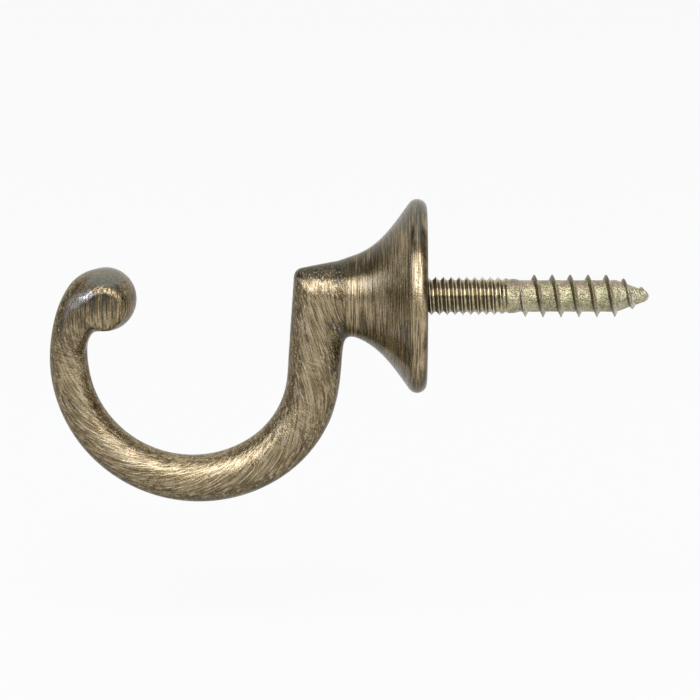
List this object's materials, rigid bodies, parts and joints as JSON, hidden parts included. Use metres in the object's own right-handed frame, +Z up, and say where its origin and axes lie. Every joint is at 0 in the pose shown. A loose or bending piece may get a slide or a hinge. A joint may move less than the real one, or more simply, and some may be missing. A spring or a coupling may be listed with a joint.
{
  "type": "wall hook",
  "caption": "Cast wall hook: a flared round base, a mitred arm and a tapering open loop that ends in a crosswise roll, on a screw with machine and wood threads.",
  "frame": {"origin": "middle of the base's flat rear face, on the screw's axis", "axes": "+X along the screw into the wall, -X out into the room, +Z up the wall; the hook is bent in the XZ plane"},
  "size_m": [0.0608, 0.0196, 0.0313],
  "materials": {
    "antique_brass": "antiqued and brushed, satin",
    "yellow_zinc": "yellow chromate zinc plate"
  },
  "bodies": {
    "root": {"hook": "antique_brass", "hanger_screw": "yellow_zinc"}
  },
  "joints": []
}
